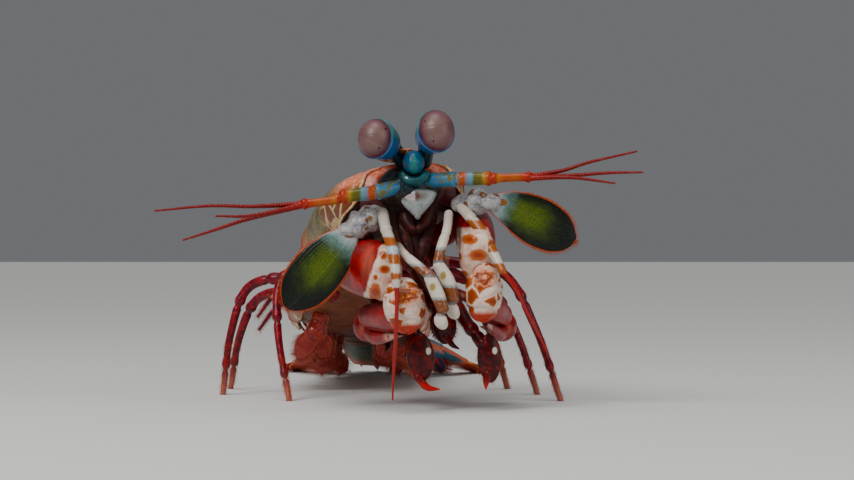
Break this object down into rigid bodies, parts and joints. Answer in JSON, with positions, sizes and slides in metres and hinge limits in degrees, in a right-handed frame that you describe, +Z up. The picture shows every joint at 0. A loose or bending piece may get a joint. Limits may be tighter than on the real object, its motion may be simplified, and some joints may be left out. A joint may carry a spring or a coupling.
{
  "type": "mantis shrimp",
  "caption": "Life-size mantis shrimp standing on its walking legs, head raised, with stalked eyes, feelers, antennal scales, folded striking limbs and a spread tail fan.",
  "frame": {"origin": "middle of the animal's bounding box seen from above, at the ground it stands on", "axes": "+Y from the head back towards the tail, +X to the animal's left, +Z up"},
  "size_m": [0.097, 0.151, 0.0602],
  "materials": {
    "shell": "satin hard shell",
    "head_skin": "satin skin",
    "cornea": "smooth satin",
    "feelers": "satin",
    "raptorial": "glossy hard shell",
    "maxillipeds": "satin",
    "legs": "satin",
    "tail_fan": "satin",
    "swimmerets": "soft satin"
  },
  "bodies": {
    "root": {"carapace": "shell", "rostral_plate": "shell", "thorax_6": "shell", "thorax_7": "shell", "thorax_8": "shell", "abdomen_1": "shell", "abdomen_2": "shell", "abdomen_3": "shell", "abdomen_4": "shell", "abdomen_5": "shell", "abdomen_6": "shell", "telson": "shell", "head": "head_skin", "labrum": "head_skin", "mouthparts": "maxillipeds", "eye_stalk_l": "head_skin", "eye_stalk_r": "head_skin", "cornea_l": "cornea", "cornea_r": "cornea", "antennule_l": "feelers", "antennule_r": "feelers", "antenna_l": "feelers", "antenna_r": "feelers", "antennal_scale_l": "feelers", "antennal_scale_r": "feelers", "raptorial_merus_l": "raptorial", "raptorial_merus_r": "raptorial", "raptorial_carpus_l": "raptorial", "raptorial_carpus_r": "raptorial", "raptorial_propodus_l": "raptorial", "raptorial_propodus_r": "raptorial", "raptorial_dactyl_l": "raptorial", "raptorial_dactyl_r": "raptorial", "maxilliped_1_l": "maxillipeds", "maxilliped_1_r": "maxillipeds", "maxilliped_3_l": "maxillipeds", "maxilliped_3_r": "maxillipeds", "maxilliped_4_l": "maxillipeds", "maxilliped_4_r": "maxillipeds", "maxilliped_5_l": "maxillipeds", "maxilliped_5_r": "maxillipeds", "leg_1_l": "legs", "leg_1_r": "legs", "leg_2_l": "legs", "leg_2_r": "legs", "leg_3_l": "legs", "leg_3_r": "legs", "uropod_l": "tail_fan", "uropod_r": "tail_fan", "pleopod_1_l": "swimmerets", "pleopod_1_r": "swimmerets", "pleopod_2_l": "swimmerets", "pleopod_2_r": "swimmerets", "pleopod_3_l": "swimmerets", "pleopod_3_r": "swimmerets", "pleopod_4_l": "swimmerets", "pleopod_4_r": "swimmerets", "pleopod_5_l": "swimmerets", "pleopod_5_r": "swimmerets"}
  },
  "joints": []
}
